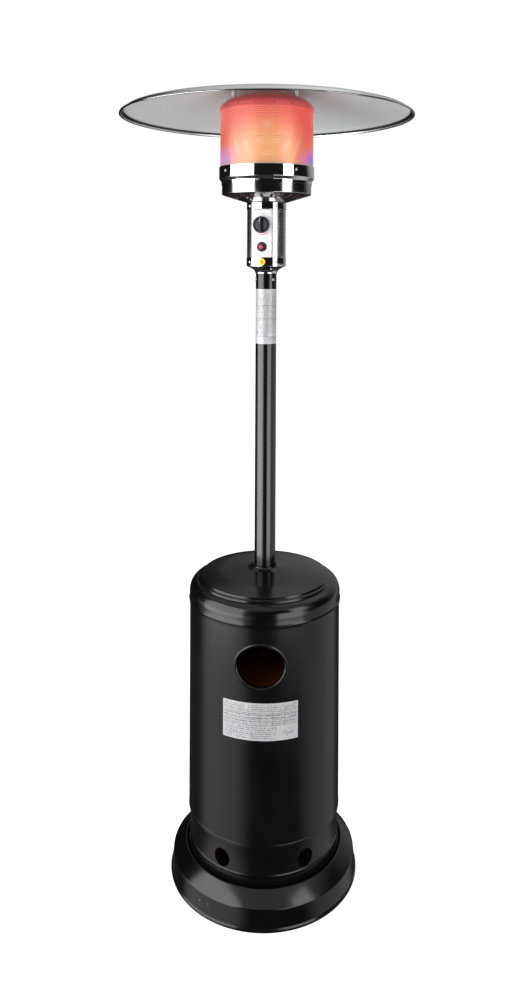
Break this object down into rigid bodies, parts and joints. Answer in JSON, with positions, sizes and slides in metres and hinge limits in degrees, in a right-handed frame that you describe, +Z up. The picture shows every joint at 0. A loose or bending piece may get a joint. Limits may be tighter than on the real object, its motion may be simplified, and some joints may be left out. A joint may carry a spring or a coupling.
{
  "type": "patio heater",
  "caption": "Mushroom-shaped gas patio heater: round base, drum-shaped bottle housing with a hand hole, slim pole, control head, glowing emitter screen and wide shallow reflector.",
  "frame": {"origin": "on the heater's centre line, at floor level", "axes": "+Z up along the pole, -Y towards the front with the hand hole and the control panel, +X to the right of someone facing the front"},
  "size_m": [0.813, 0.813, 2.1461],
  "materials": {
    "black_paint": "black satin powder coat",
    "polished_steel": "polished stainless steel",
    "brushed_aluminium": "finely brushed, satin",
    "zinc": "zinc plated",
    "panel_paint": "white satin paint",
    "black_plastic": "black moulded plastic",
    "red_plastic": "red moulded plastic",
    "hose_rubber": "black rubber hose",
    "brass": "turned brass",
    "orange_paint": "orange gloss paint",
    "label_foil": "silver label foil",
    "sticker_yellow": "yellow vinyl sticker",
    "hot_screen": "perforated heat-resistant steel, glowing"
  },
  "bodies": {
    "root": {"base_skirt": "black_paint", "vent_ring": "black_paint", "base_plate": "zinc", "support_post_1": "zinc", "support_post_2": "zinc", "support_post_3": "zinc", "post_bolt_1": "zinc", "post_bolt_2": "zinc", "post_bolt_3": "zinc", "bracket_bolt_1": "zinc", "bracket_bolt_2": "zinc", "bracket_bolt_3": "zinc", "pole_bracket": "zinc", "pole": "black_paint", "pole_label": "label_foil", "neck_screw_1": "zinc", "neck_screw_2": "zinc", "neck_screw_3": "zinc", "gas_bottle": "orange_paint", "bottle_foot_ring": "orange_paint", "bottle_valve": "brass", "gas_regulator": "zinc", "gas_hose": "hose_rubber", "neck_sleeve": "polished_steel", "control_shell": "polished_steel", "control_band_lower": "polished_steel", "control_band_upper": "polished_steel", "control_panel": "panel_paint", "gas_valve": "brass", "igniter_bezel": "black_plastic", "igniter_body": "black_plastic", "tilt_switch": "black_plastic", "warning_sticker": "sticker_yellow", "burner_pan": "polished_steel", "burner_ring": "polished_steel", "burner_tube": "zinc", "gas_jet": "brass", "flame_drum": "zinc", "pilot_burner": "zinc", "thermocouple": "zinc", "spark_electrode": "zinc", "emitter_screen": "hot_screen", "emitter_cap": "hot_screen", "reflector_stud_1": "zinc", "reflector_stud_2": "zinc", "reflector_stud_3": "zinc", "stud_nut_1": "zinc", "stud_nut_2": "zinc", "stud_nut_3": "zinc", "reflector": "brushed_aluminium"},
    "housing": {"tank_housing": "black_paint", "hand_hole_trim": "black_paint", "housing_lid": "black_paint", "lid_bush": "black_plastic", "rating_label": "label_foil"},
    "knob_plunger": {"push_collar": "zinc"},
    "knob": {"control_knob": "black_plastic", "valve_spindle": "brass"},
    "igniter": {"igniter_button": "red_plastic"},
    "handwheel": {"valve_handwheel": "black_plastic"}
  },
  "joints": [
    {"name": "housing_lift", "type": "slide", "parent": "root", "child": "housing", "axis": [0, 0, 1], "range_m": [0, 0.6]},
    {"name": "knob_push", "type": "slide", "parent": "root", "child": "knob_plunger", "axis": [0.2334, 0.9724, 0], "range_m": [0, 0.005], "stiffness_N_per_m": 300},
    {"name": "knob_turn", "type": "hinge", "parent": "knob_plunger", "child": "knob", "pos_m": [-0.01344, -0.05599, 1.765], "axis": [-0.2334, -0.9724, 0], "range_deg": [0, 180]},
    {"name": "igniter_press", "type": "slide", "parent": "root", "child": "igniter", "axis": [0.2334, 0.9724, 0], "range_m": [0, 0.005], "stiffness_N_per_m": 400},
    {"name": "bottle_valve_turn", "type": "hinge", "parent": "root", "child": "handwheel", "pos_m": [0, 0, 0.64], "axis": [0, 0, 1], "range_deg": [0, 720]}
  ]
}
